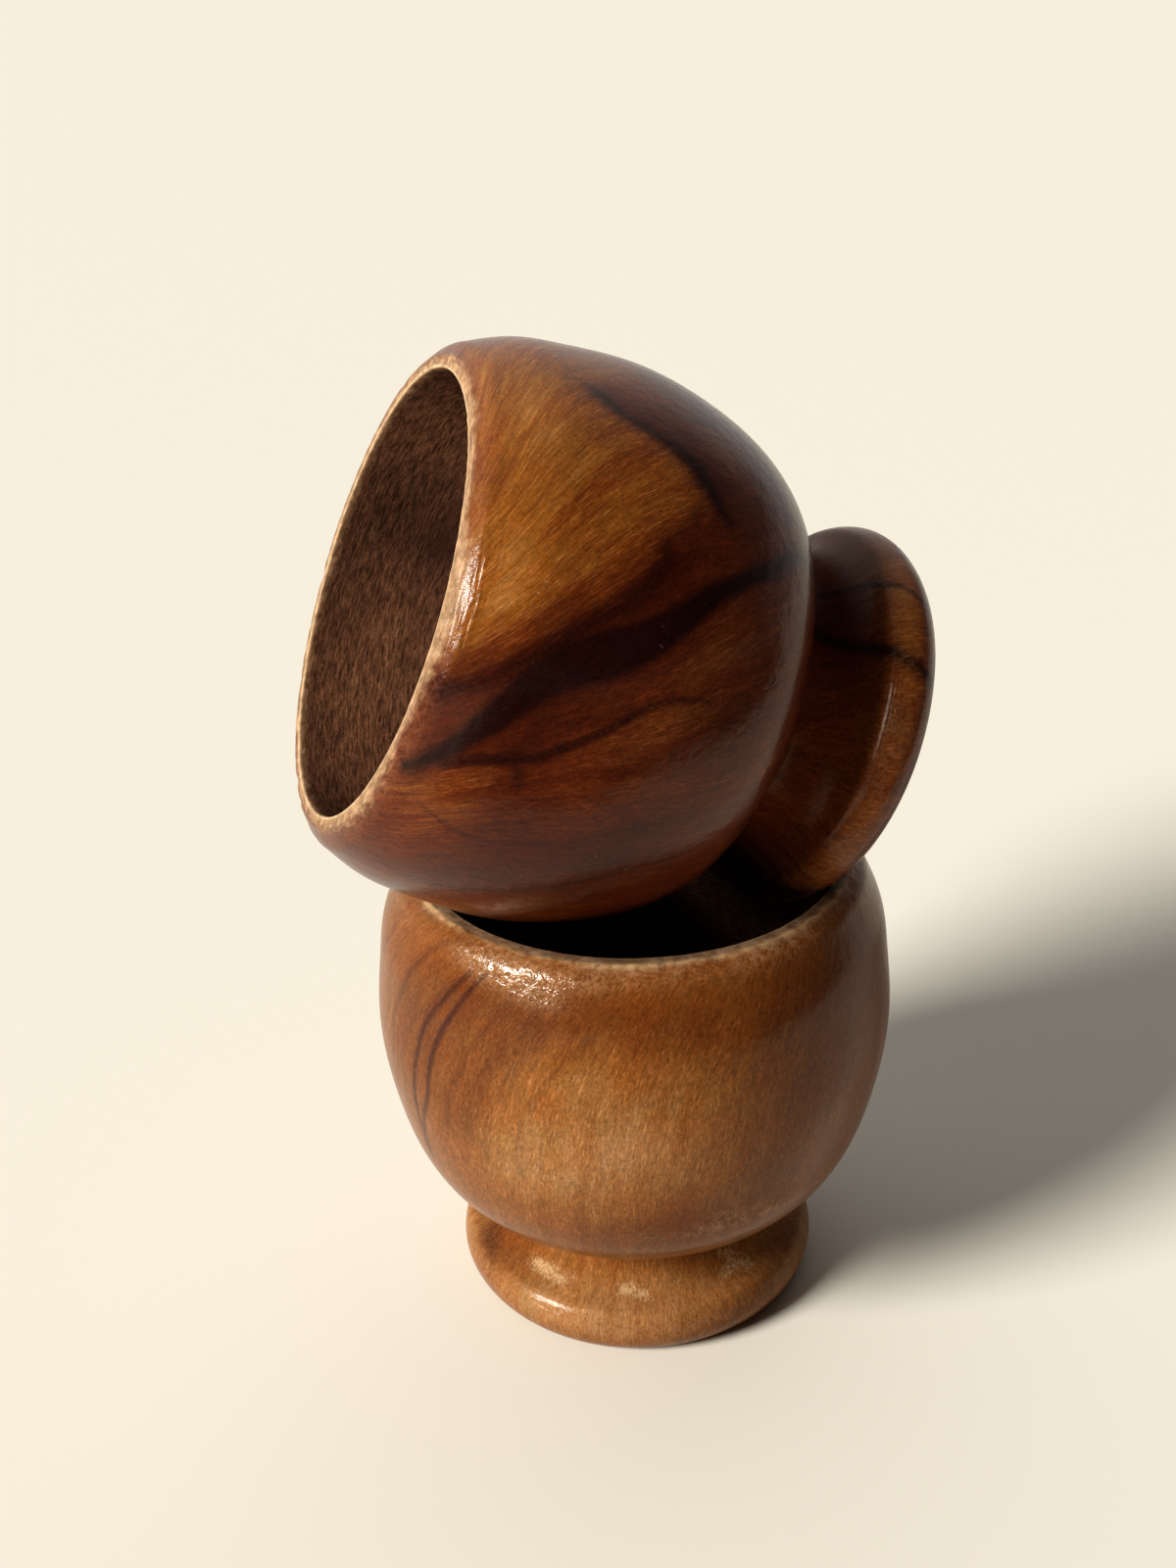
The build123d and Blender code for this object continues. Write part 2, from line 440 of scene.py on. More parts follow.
def wood(name, look):
    """Oiled and varnished turned wood: layered figure, fibres and pores, dark streaks, rubbed rim, chips, a bare hollow."""
    t = Tree(name)
    cup, grain = t.attr("cup", True), t.attr("grain", True)
    tone, inside, under, matte = t.attr("tone"), t.attr("inside"), t.attr("under"), t.attr("matte")
    lip, chip, crackle_and_sheen, rub_and_sheen, stain = t.attr("lip"), t.attr("chip"), t.attr("crackle_and_sheen"), t.attr("rub_and_sheen"), t.attr("stain")

    # wandering of the figure
    drift = t.noise(cup, 0.11, 2.0, 0.5, colour=True)
    drift = t.scale(t.vadd(drift, (-0.5, -0.5, -0.5)), (3.0, 3.0, 3.0))
    g = t.vadd(grain, drift)
    # fibres long and thin along the grain, a silky mottle, short dark pores
    fibre = t.noise(t.scale(g, (3.0, 3.0, 0.34)), 1.0, 4.0, 0.62)
    silk = t.noise(t.scale(grain, (5.2, 5.2, 1.25)), 1.0, 3.0, 0.68)
    mottle = t.noise(cup, 3.1, 3.0, 0.65)
    pore = t.ramp(t.noise(t.vadd(t.scale(grain, (4.6, 4.6, 0.62)), (31.0, 7.0, 3.0)), 1.0, 2.0, 0.5), 0.40, 0.28)
    # layers: soft light and dark bands, clouds, feathery cross figure
    band = t.noise(t.scale(g, (0.42, 0.42, 0.045)), 1.0, 3.0, 0.55)
    cloud = t.noise(cup, 0.16, 3.0, 0.55)
    feather = t.noise(t.scale(g, (1.1, 1.1, 0.16)), 1.0, 3.0, 0.6, 0.6)
    blush = t.noise(t.vadd(cup, (60.0, 20.0, 0.0)), 0.24, 3.0, 0.6)

    figure = t.add(t.mul(t.add(band, -0.5), look["band"]), t.mul(t.add(cloud, -0.5), look["cloud"]))
    figure = t.add(figure, t.add(t.mul(t.add(feather, -0.5), look["feather"]), t.mul(t.add(fibre, -0.5), look["fibre"])))
    shade = t.add(tone, t.mul(figure, t.ramp(tone, 0.2, 0.7, 0.6, 1.0)))
    colour = t.stops(shade, look["wood"])
    colour = t.mix(1.0, colour, t.mix(t.ramp(blush, 0.34, 0.66), (1.05, 0.96, 0.88, 1.0), (0.98, 1.0, 1.02, 1.0)), "MULTIPLY")

    # dark streaks, their edges drawn out along the fibres
    fray = t.add(t.mul(t.add(feather, -0.5), look["fray"]), t.mul(t.add(fibre, -0.5), 0.45))
    near_a = t.add(t.attr("vein_a"), fray)
    near_b = t.add(t.attr("vein_b"), t.mul(fray, 0.4))
    colour = t.mix(t.mul(t.ramp(near_a, 3.4, -0.3), t.mul(t.attr("vein_ak"), look["halo"])), colour, look["vein_halo"])
    colour = t.mix(t.mul(t.ramp(near_b, 1.3, -0.9), t.attr("vein_bk")), colour, look["vein_thin"])
    colour = t.mix(t.mul(t.ramp(near_a, 1.25, -1.0), t.attr("vein_ak")), colour, look["vein"])
    colour = t.mix(t.mul(stain, t.ramp(mottle, 0.3, 0.6, 0.35, 0.85)), colour, look["stain"])

    # fibre, silk and mottle in the wood's own colour, and the pores
    lively = t.mul(t.ramp(silk, 0.22, 0.78, 1.0 - look["silk"], 1.0 + look["silk"], False), t.ramp(mottle, 0.25, 0.75, 1.0 - look["mottle"], 1.0 + look["mottle"], False))
    lively = t.mul(lively, t.math("SUBTRACT", 1.0, t.mul(pore, look["pore"])))
    strand = t.ramp(t.noise(t.vadd(t.scale(grain, (6.4, 6.4, 0.85)), (5.0, 41.0, 9.0)), 1.0, 2.0, 0.6), 0.52, 0.74)
    lively = t.mul(lively, t.add(1.0, t.mul(t.mul(strand, t.ramp(shade, 0.2, 0.7, 0.3, 1.0)), look["strand"])))
    colour = t.mix(1.0, colour, lively, "MULTIPLY")
    colour = t.mix(t.mul(strand, t.ramp(shade, 0.35, 0.8, 0.0, 0.16)), colour, look["chip"])

    # bare wood in the hollow, dry and fuzzy
    fuzz = t.noise(t.scale(grain, (0.55, 0.55, 4.6)), 1.0, 3.0, 0.7)
    bare = t.stops(t.add(t.mul(t.add(cloud, -0.5), 0.3), t.add(t.mul(t.add(t.noise(t.scale(cup, look["bare_band"]), 1.0, 3.0, 0.55), -0.5), 0.6), t.attr("dry"))), look["bare"])
    bare = t.mix(1.0, bare, t.ramp(fuzz, 0.36, 0.70, 0.50, 2.1, False), "MULTIPLY")
    bare = t.mix(1.0, bare, t.ramp(mottle, 0.25, 0.75, 0.70, 1.30, False), "MULTIPLY")
    bare = t.mix(t.mul(t.ramp(fuzz, 0.64, 0.76), look["bare_fleck"]), bare, look["bare_fleck_colour"])
    bare = t.mix(t.mul(stain, 0.75), bare, look["bare_dark"])
    colour = t.mix(inside, colour, bare)

    # underside of the foot: sealed but never polished
    growth = t.noise(t.scale(t.vadd(cup, t.scale(drift, (1.6, 1.6, 0.0))), (0.85, 0.10, 0.3)), 1.0, 3.0, 0.6)
    rings = t.noise(t.vadd(t.scale(grain, (0.0, 0.0, 2.1)), (9.0, 2.0, 5.0)), 1.0, 2.0, 0.6)
    end = t.mix(1.0, look["under"], t.ramp(growth, 0.30, 0.70, 0.55, 1.35, False), "MULTIPLY")
    end = t.mix(1.0, end, t.ramp(rings, 0.30, 0.70, 0.74, 1.22, False), "MULTIPLY")
    end = t.mix(1.0, end, t.ramp(t.noise(cup, 5.0, 2.0, 0.6), 0.30, 0.70, 0.62, 1.25, False), "MULTIPLY")
    end = t.mix(t.ramp(t.noise(t.vadd(cup, (8.0, 80.0, 0.0)), 0.14, 3.0, 0.6), 0.50, 0.68, 0.0, 0.55), end, look["vein_halo"])
    colour = t.mix(t.mul(under, 0.92), colour, end)

    # rubbed varnish below the rim; the same mask also lays a pale band round the foot, partly rubbed varnish and partly
    # painted sheen, and on the lower cup pale scuff strokes and a line along the bottom of the bowl, the line partly
    # painted highlight
    patchy = t.noise(cup, 0.9, 3.0, 0.6)
    rubbed_and_sheen = t.mul(rub_and_sheen, t.ramp(t.add(t.mul(mottle, 0.6), t.mul(patchy, 0.6)), 0.45, 0.78))
    colour = t.mix(t.mul(rubbed_and_sheen, 0.8), colour, look["rubbed_and_sheen"])

    # bare rim: lip is mm of wear left at this point; on the upper cup round 16°, where the highlight runs along the
    # rim, the pale band is partly painted highlight
    drawn = t.noise(t.vadd(t.scale(grain, (0.6, 0.6, 3.0)), (3.0, 17.0, 29.0)), 1.0, 3.0, 0.65)
    rim_wear_and_highlight = t.ramp(t.add(lip, t.add(t.mul(t.add(drawn, -0.5), look["rim_fray"]), t.mul(t.add(patchy, -0.5), 0.9))), -0.75, 0.65)
    rim = t.mix(t.ramp(t.noise(cup, 0.8, 3.0, 0.6), 0.36, 0.64), look["rim_dark"], look["rim"])
    rim = t.mix(1.0, rim, t.ramp(mottle, 0.25, 0.75, 0.86, 1.14, False), "MULTIPLY")
    rim = t.mix(1.0, rim, t.ramp(drawn, 0.3, 0.7, 0.76, 1.24, False), "MULTIPLY")
    rim = t.mix(t.mul(t.attr("arris"), t.ramp(patchy, 0.35, 0.6, 0.35, 0.85)), rim, look["rim_light"])
    rim = t.mix(t.mul(t.attr("tick"), 0.8), rim, look["rim_dark"])
    colour = t.mix(t.mul(rim_wear_and_highlight, look["rim_cover"]), colour, rim)

    # chips and scuffs
    flake = t.ramp(t.add(chip, t.add(t.mul(t.add(t.noise(t.scale(cup, (1.0, 1.0, 0.6)), 3.2, 4.0, 0.75), -0.5), 3.0), t.add(t.mul(t.add(patchy, -0.5), 1.0), t.mul(t.add(silk, -0.5), 0.8)))), 0.42, 1.25)
    flake = t.mul(flake, t.ramp(chip, 0.10, 0.38))
    colour = t.mix(t.mul(flake, 0.66), colour, look["chip"])
    # crazed varnish, with a painted sheen: where it is crazed the colour is mixed towards the pale chip colour,
    # standing in for the soft glow of the highlight there
    colour = t.mix(t.mul(crackle_and_sheen, t.ramp(mottle, 0.35, 0.65, 0.06, 0.30)), colour, look["chip"])
    # a few tiny pale knocks
    speck = t.ramp(t.cells(cup, 0.17), 0.03, 0.012)
    colour = t.mix(t.mul(speck, t.ramp(cloud, 0.50, 0.60, 0.0, 0.4)), colour, look["chip"])
    t.put(t.bsdf.inputs["Base Color"], colour)

    # finish
    dull = t.math("MAXIMUM", t.math("MAXIMUM", rim_wear_and_highlight, flake), t.math("MAXIMUM", inside, t.mul(rubbed_and_sheen, 0.45)))
    dull = t.math("MAXIMUM", dull, matte)
    rough = t.add(look["rough"], t.add(t.mul(t.add(fibre, -0.5), 0.12), t.mul(t.add(patchy, -0.5), 0.16)))
    rough = t.add(rough, t.mul(dull, 0.35))
    rough = t.add(rough, t.mul(under, 0.15))
    t.put(t.bsdf.inputs["Roughness"], t.math("MINIMUM", rough, 0.95))
    gloss = t.mul(t.math("SUBTRACT", 1.0, dull, clamp=True), look["coat"])
    t.put(t.bsdf.inputs["Coat Weight"], t.math("MINIMUM", t.add(gloss, t.add(crackle_and_sheen, t.attr("shine"))), 1.0))
    t.bsdf.inputs["Coat Roughness"].default_value = 0.13
    t.bsdf.inputs["Coat IOR"].default_value = 1.42
    t.bsdf.inputs["IOR"].default_value = 1.48
    t.bsdf.inputs["Specular IOR Level"].default_value = 0.06

    # relief
    skin = t.noise(cup, 0.8, 3.0, 0.55)
    wrinkle = t.add(t.noise(cup, 2.0, 2.0, 0.55, 0.6), t.mul(t.noise(cup, 0.75, 2.0, 0.5), 0.9))
    h = t.add(t.mul(fibre, 0.5), t.add(t.mul(pore, -0.25), t.mul(silk, 0.4)))
    normal = t.bump(skin, 0.00010, 0.55)
    normal = t.bump(h, 0.000024, 0.6, normal)
    normal = t.bump(t.mul(wrinkle, t.math("MINIMUM", t.mul(crackle_and_sheen, 1.6), 1.0)), 0.00010, 1.0, normal)
    normal = t.bump(t.mul(t.add(fuzz, mottle), t.math("MAXIMUM", t.mul(rim_wear_and_highlight, 0.4), inside)), 0.00006, 0.7, normal)
    normal = t.bump(t.mul(flake, -1.0), 0.00005, 0.7, normal)
    lathe = t.noise(t.vadd(t.scale(grain, (0.14, 0.14, 2.3)), (13.0, 7.0, 2.0)), 1.0, 1.0, 0.5)
    normal = t.bump(t.mul(lathe, t.math("MINIMUM", t.mul(t.attr("shine"), 1.5), 1.0)), 0.00016, 1.0, normal)
    grit = t.mul(t.noise(cup, 10.0, 2.0, 0.5), t.add(t.mul(crackle_and_sheen, 2.2), 1.0))
    normal = t.bump(t.mul(grit, t.math("MINIMUM", t.mul(t.attr("shine"), 1.5), 1.0)), 0.000018, 1.0, normal)
    t.put(t.bsdf.inputs["Normal"], normal)
    t.put(t.bsdf.inputs["Coat Normal"], normal)
    return t.mat


# ---------------------------------------------------------------- upper cup

up = Surface(UPPER)

UP_BROAD = [
    (0.45, 1.00, [(-18.7, 47.9, .50), (-12.6, 46.2, .65), (-7.8, 45.0, .85), (-2.6, 43.8, 1.1), (2.4, 42.6, 1.3), (7.1, 41.2, 1.55),
                  (10.7, 39.7, 1.80), (14.0, 37.4, 2.0), (17.2, 35.0, 1.9), (20.6, 32.9, 1.6), (24.5, 31.0, 1.25), (29.1, 29.1, 1.0),
                  (33.4, 26.8, .75), (37.1, 24.7, .66), (40.8, 22.4, .54), (46.6, 19.7, .48), (50.5, 16.5, .48), (48.5, 12.5, .48),
                  (44.5, 9.5, .48), (42.6, 7.8, .48), (41.8, 6.4, .46), (39.4, 5.4, .46), (37.3, 4.2, .42), (34.2, 2.1, .4), (33, 0.4, .3)]),
    (0.95, 0.88, [(-0.6, 47.9, .45), (4.1, 45.4, .6), (9.7, 43.0, .62), (13.5, 41.1, .65), (18.0, 39.2, .70), (21.8, 37.3, .70),
                  (25.7, 35.3, .68), (29.3, 34.1, .62), (32.8, 33.3, .5), (35.4, 33.0, .34)]),
    (0.62, 0.95, [(69.6, 39.7, .22), (67.5, 38.9, .50), (65.0, 38.0, .56), (62.6, 36.7, .50), (59.8, 34.5, .50), (57.4, 32.4, .62),
                  (55.4, 31.1, .78), (53.2, 30.2, .78), (50.5, 29.3, .62), (48.0, 28.4, .46), (46.2, 27.4, .3)]),
    # further round the back
    (0.85, 0.95, [(150, 48.2, .4), (157, 44.0, .7), (166, 39.5, .9), (171, 34.0, 1.2), (179, 29.0, 1.0), (188, 24.5, .8), (194, 19.5, .6), (198, 14.5, .5), (199, 9.0, .4), (201, 4.0, .5), (202, 0.3, .3)]),
    (0.8, 0.85, [(222, 47.8, .5), (226, 42.0, .8), (234, 36.5, .7), (241, 30.0, .5), (246, 24.0, .4), (249, 18.0, .3)]),
    (0.8, 0.80, [(176, 47.5, .3), (181, 42.0, .5), (187, 36.5, .5), (190, 31.5, .3)]),
]
UP_THIN = [
    (0.32, 0.95, [(-14.0, 45.6, .34), (-9.9, 43.3, .50), (-8.0, 41.2, .50), (-6.0, 39.1, .46), (-3.4, 37.7, .38), (0.0, 35.9, .34), (3.9, 33.9, .32),
                  (7.6, 32.2, .28), (9.9, 30.6, .24), (11.4, 28.8, .16), (12.0, 26.2, .08)]),
    (0.60, 0.70, [(-6.6, 41.0, .50), (-9.4, 40.0, .45), (-12.6, 39.4, .20)]),
    (0.25, 0.80, [(-47.5, 40.5, .15), (-45.5, 38.7, .18), (-41.4, 36.0, .21), (-37.2, 33.4, .21), (-32.3, 30.6, .21), (-28.3, 27.5, .18), (-24.7, 25.1, .16), (-22.3, 22.2, .12)]),
    (0.22, 0.85, [(62.0, 12.0, .12), (66.0, 9.5, .25), (68.0, 7.5, .30), (67.3, 6.1, .32), (63.0, 5.3, .31), (60.4, 3.7, .31), (57.6, 2.5, .31), (56, 0.6, .2)]),
    (0.28, 0.85, [(69.3, 33.9, .12), (68.0, 30.8, .20), (71.8, 26.8, .22), (75.2, 24.1, .20), (75.6, 22.6, .10)]),
    (0.60, 0.55, [(46.7, 30.3, .35), (42.3, 31.1, .35), (39.1, 32.4, .35), (35.9, 33.9, .3)]),
    (0.28, 0.55, [(-25, 45.6, .12), (-27, 41.0, .18), (-24, 36.0, .16), (-18, 31.0, .14), (-13, 26.0, .1)]),
    # further round the back
    (0.28, 0.75, [(101, 46.5, .15), (104, 40.0, .22), (112, 33.5, .25), (117, 27.0, .2), (124, 21.0, .15)]),
    (0.25, 0.65, [(108, 47.0, .12), (113, 41.0, .2), (122, 34.0, .2), (128, 27.5, .14)]),
    (0.30, 0.70, [(205, 47.8, .2), (209, 41.0, .3), (214, 34.0, .25), (218, 27.0, .2), (224, 20.0, .15)]),
    (0.25, 0.70, [(262, 47.0, .15), (268, 41.0, .25), (278, 34.0, .2), (285, 27.0, .16), (291, 20.0, .1)]),
    (0.25, 0.60, [(275, 46.0, .1), (281, 40.0, .2), (291, 33.0, .16), (297, 26.5, .1)]),
    (0.22, 0.80, [(285, 7.5, .2), (289, 5.0, .3), (290, 2.0, .25)]),
    (0.22, 0.75, [(120, 8.0, .2), (117, 5.3, .3), (114, 2.0, .25)]),
]
# lighter and darker regions of the figure: (angle, height, half width round, half width along, lighter or darker)
UP_FIGURE = [
    (14, 38, 9, 3.5, -.08), (32, 33, 5, 3, -.14),                                   # dark pocket under the gold
    (5.5, 46.4, 2.2, .9, .20), (-6, 46.6, 6, 2.2, -.14), (-20, 43.5, 5, 4, .22), (-25, 46.6, 4, 2.5, .14), (-33, 36, 7, 6, -.16), (-28, 29, 6, 4, -.12),           # low gold by the lip, then the dark shoulder
    (4, 31, 5, 3, .12), (-6, 35, 4, 2.5, .10), (8, 28, 6, 4, .08), (24, 26.5, 6, 3, .08), (66, 33, 4, 6, .08), (68.5, 38.0, 2.4, 2.4, -.20), (64.5, 35.0, 2.4, 2.6, -.20), (60, 31.6, 2.6, 2.4, -.22), (54, 28.8, 3, 2.2, -.20), (0, 18, 12, 3, .08), (50, 19, 6, 3, .06),
    (50, 25, 5, 4, -.02), (61, 27.5, 5, 4, .14), (84, 42, 9, 8, .36),                # brown beyond the gold's corner, gold again over the top
    (-52, 30, 6, 9, .12),
    (50, 4.5, 7, 2, .10), (0, 4, 8, 2.5, -.12), (60, 9, 6, 3, -.16),                # foot
    (130, 41, 12, 8, .30), (145, 33, 10, 7, .20), (245, 42, 10, 8, .20), (258, 33, 9, 7, .16), (205, 30, 9, 7, .12),
]
UP_GOLD = [(92, 49), (88, 45.5), (80, 43.0), (71.4, 40.7), (65.5, 38.2), (59.8, 34.4), (54.5, 30.7), (47.5, 29.2), (41.2, 31.9), (36.5, 35.0), (26.3, 39.4),
           (17.4, 43.2), (9.8, 46.2), (4, 47.8), (13.1, 49.4), (39.0, 49.4), (65, 49.4)]
# amber round the gold, down to the second streak, and the darker wedge under the main streak
UP_AMBER = [(92, 49), (88, 45.5), (80, 43.0), (71.4, 40.7), (65.5, 38.2), (59.8, 34.4), (54.5, 30.7), (50, 29.0), (45, 29.3), (40, 31.2), (35, 33.4), (30, 34.8), (24, 37.0),
            (17, 40.4), (11, 43.2), (4, 47.2), (1, 48.8), (13.1, 49.4), (39.0, 49.4), (65, 49.4)]
UP_WEDGE = [(-16, 46.8), (-8, 44.6), (3, 42.0), (9, 39.0), (14.4, 34.5), (18, 32.0), (11.6, 28.7), (8.2, 31.9), (2.3, 34.7), (-3.6, 37.8), (-5.8, 39.1), (-8.5, 41.0), (-11, 44.0)]

near = 0.5 + 0.5 * np.cos(np.radians(up.th - 10))
gold_in = up.patch(UP_GOLD) + 0.35 * waves(up.round, 3.0, 41, 2)
up_gold = step(-1.2, 2.0, gold_in)
amber = step(-0.6, 0.9, up.patch(UP_AMBER) + 0.35 * waves(up.round, 3.0, 43, 2))
wedge = step(-0.3, 0.6, up.patch(UP_WEDGE) + 0.25 * waves(up.round, 3.0, 47, 2))
gold_tone = 0.67 + up.spots([(24, 45.5, 7, 3.5, .20), (52, 42.5, 8, 5, .13), (70, 46, 8, 3, .14)])
up_tone = 0.385 + up.spots(UP_FIGURE) + (0.32 * np.exp(-((up.z - 4.0) / 2.4) ** 2) + 0.06 * np.exp(-((up.z - 9.0) / 2.5) ** 2)) * (up.v < 20) - 0.07 * wedge
up_tone = up_tone * (1 - amber) + amber * np.maximum(up_tone, 0.53)
va, vak = up.lines(UP_BROAD)
vb, vbk = up.lines(UP_THIN)
lean = np.interp(up.z[:, 0], [0, 10, 24, 33, 38, 43, 47, 49], [0.10, 0.30, 0.55, 0.60, 0.85, 1.4, 1.9, 2.0])
shear = np.r_[0, np.cumsum(0.5 * (lean[1:] + lean[:-1]) * np.diff(up.v[:, 0]))][:, None]
shear = shear - shear[np.argmin(np.abs(up.v[:, 0] - up.v_of(40.0)))]
turn = np.radians(up.th) + shear / REF_R * (0.55 + 0.65 * np.exp(-((wrap(up.th - 45) / 38.0) ** 2)))
up_grain = np.stack([REF_R * np.cos(turn), REF_R * np.sin(turn), up.v + 0 * turn], -1)

ring22 = np.stack([22 * np.cos(np.radians(up.th)), 22 * np.sin(np.radians(up.th)), 0 * up.th], -1)
# the pale rim band is widest round 16°, where the highlight runs along the rim: there the band is partly painted
# highlight
lip_width = (-0.20 + 0.20 * near + 1.35 * np.exp(-((wrap(up.th - 16) / 14.0) ** 2)) + 0.75 * np.exp(-((wrap(up.th + 42) / 15.0) ** 2))
             + 0.30 * np.exp(-((wrap(up.th - 72) / 30.0) ** 2)) + 0.30 * np.exp(-((wrap(up.th - 200) / 60.0) ** 2)) + 0.24 * waves(ring22, 10.0, 5, 2))
lip_left = np.minimum(up.v - up.v_lip_out + lip_width, up.v_lip_in - up.v + 0.62)
tick_at = np.exp(-((wrap(up.th + 58) / 16.0) ** 2)) * (0.5 + 0.5 * np.sin(np.radians(up.th) * 22 * 2 * math.pi / 0.62 + 2.2 * waves(ring22, 3.0, 9)))
tick = tick_at * step(-0.9, -0.3, up.v - up.v_lip_out) * (1 - step(-0.15, 0.1, up.v - up.v_lip_in))

up_fields = dict(
    grain=up_grain,
    tone=np.clip(up_tone * (1 - up_gold) + up_gold * gold_tone, 0.02, 1.0),
    vein_a=va, vein_ak=vak, vein_b=vb, vein_bk=vbk,
    inside=up.inside,
    under=(up.run == "base")[:, None] * np.ones((1, RING)),
    lip=lip_left,
    tick=tick,
    arris=np.exp(-((up.v - up.v_lip_in - 0.10) / 0.16) ** 2) + 0 * up.th,
    chip=up.spots([(57, 47.3, .5, .35, .55), (22, 32.3, .3, .5, .62), (23.9, 32.0, .25, .4, .62), (19, 32.2, .3, .4, .5), (29, 29.0, .4, .5, .5), (-48, 32.2, .5, .4, .6), (23, 42.6, 1.8, .6, .42),
                   (205, 33, 1.0, .8, .5), (120, 3.2, 1.6, .7, .55), (250, 3.4, 1.4, .7, .5), (165, 2.8, 1.2, .6, .5)]),
    # crazed varnish on the foot bead and at the back of the rim; the material also paints a pale sheen into the colour
    # there
    crackle_and_sheen=np.clip(up.spots([(19, 4.8, 3.4, 1.0, .40), (140, 47.6, 4, 1, .25)]), 0, 1),
    # pale rubbed band below the rim, and a pale band round the foot that is partly painted sheen
    rub_and_sheen=np.clip(step(-3.2, -0.6, up.v - up.v_lip_out) * (1 - step(-0.2, 0.2, up.v - up.v_lip_out)) * 0.45
                + 0.45 * np.exp(-((up.z - 3.4) / 1.8) ** 2) * (up.v < 12), 0, 1) + 0 * up.th,
    stain=np.clip(up.spots([(176, 38, 3.0, 3.0, .9), (155, 33, 6.0, 5.0, .5)], inside=True) * step(0.1, 0.6, up.inside)
                  + up.spots([(11, 45.3, 2.0, .9, .50), (43, 47.4, .8, .7, .7), (47, 47.2, .6, .5, .5), (39, 48.0, .7, .5, .5), (-5, 46.6, 1.0, .7, .4)]) * (1 - up.inside), 0, 1),
    shine=up.spots([(20, 47.6, 6.0, 1.4, .9), (19, 4.7, 6.0, 1.1, .90), (200, 4.2, 6.0, 1.0, .3)]),
    dry=0.06 + up.spots([(-150, 42, 9, 7, .50), (-115, 44, 9, 6, .60), (140, 43, 8, 6, .44)], inside=True) * up.inside,
    matte=np.clip(1.05 * np.exp(-((up.z - 8.8) / 2.6) ** 2) * (up.v < 20), 0, 1) + 0 * up.th,
)
up_depth = (0.05 * (0.5 + 0.5 * np.sin(np.radians(2 * up.th + 30) + 0.05 * up.v)) * np.exp(-((up.z - 33) / 16) ** 2)
            + dents(up, 61, 34, ["foot", "bowl"]) + lip_relief(up, 17, 26) + turning_marks(up, 5) + 0.045 * tick
            + 0.03 * up.spots([(-48, 32.2, .5, .4, 1.0), (57, 47.3, .5, .35, 1.0)]))
up_depth[up.run == "base"] = np.minimum(up_depth[up.run == "base"], 0.012)

az, el = math.radians(197.15), math.radians(23.07)
axis = Vector((math.cos(el) * math.cos(az), math.cos(el) * math.sin(az), math.sin(el)))
side = Vector((0, 0, 1)).cross(axis).normalized()
over = axis.cross(side)
seat = Matrix(((side.x, over.x, axis.x, -21.141 * math.cos(az)),
               (side.y, over.y, axis.y, -21.141 * math.sin(az)),
               (side.z, over.z, axis.z, 60.710),
               (0, 0, 0, 1)))
upper = cup_mesh("upper_cup_turned", up, up_depth, up_fields, seat)

UPPER_LOOK = dict(
    wood=[(0.0, lin(40, 14, 9)), (0.25, lin(72, 29, 12)), (0.45, lin(92, 42, 16)), (0.65, lin(113, 62, 24)), (0.85, lin(135, 85, 33)), (1.0, lin(151, 106, 58))],
    vein=lin(38, 14, 10), vein_thin=lin(50, 19, 12), vein_halo=lin(58, 22, 12), halo=0.42, fray=0.8,
    band=0.44, cloud=0.24, feather=0.46, fibre=0.28, silk=0.42, mottle=0.28, pore=0.12, strand=0.58, stain=lin(88, 32, 18),
    bare=[(0.0, lin(80, 54, 41)), (0.5, lin(114, 80, 60)), (1.0, lin(146, 105, 77))], bare_band=(0.5, 0.08, 0.5),
    bare_fleck=0.30, bare_fleck_colour=lin(176, 142, 110), bare_dark=lin(58, 34, 30),
    under=lin(104, 72, 46), rubbed_and_sheen=lin(140, 96, 66),
    rim=lin(180, 148, 116), rim_dark=lin(140, 112, 86), rim_light=lin(216, 190, 154), rim_cover=0.92, rim_fray=1.5,
    chip=lin(190, 158, 118), rough=0.40, coat=0.58)
upper.data.materials.append(wood("upper_wood_varnished", UPPER_LOOK))
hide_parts("upper_egg_cup")
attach(upper, "upper_cup")


# ---------------------------------------------------------------- lower cup

lo = Surface(LOWER)

LO_BROAD = [
    (1.3, 0.42, [(-111.0, 44.3, .40), (-116.4, 41.7, .34), (-121.5, 38.4, .31), (-125.1, 34.2, .28), (-127.9, 30.3, .21)]),
    (1.0, 0.50, [(-160.5, 6.5, .6), (-158.0, 5.8, 1.0), (-153.0, 5.6, .8), (-148.0, 5.0, .4)]),
    # round the back
    (0.45, 0.85, [(62, 48.8, .35), (55, 43.5, .6), (49, 37.5, .8), (46, 31.0, .7), (47, 24.5, .5), (52, 18.0, .35), (55, 12.0, .3), (57, 6.0, .4), (58, 1.0, .3)]),
    (0.45, 0.70, [(78, 48.5, .2), (72, 43.0, .4), (67, 37.0, .4), (65, 31.0, .3), (66, 25.0, .2)]),
    (0.9, 0.35, [(140, 47, .4), (133, 41, .6), (128, 34, .6), (127, 27, .4)]),
]
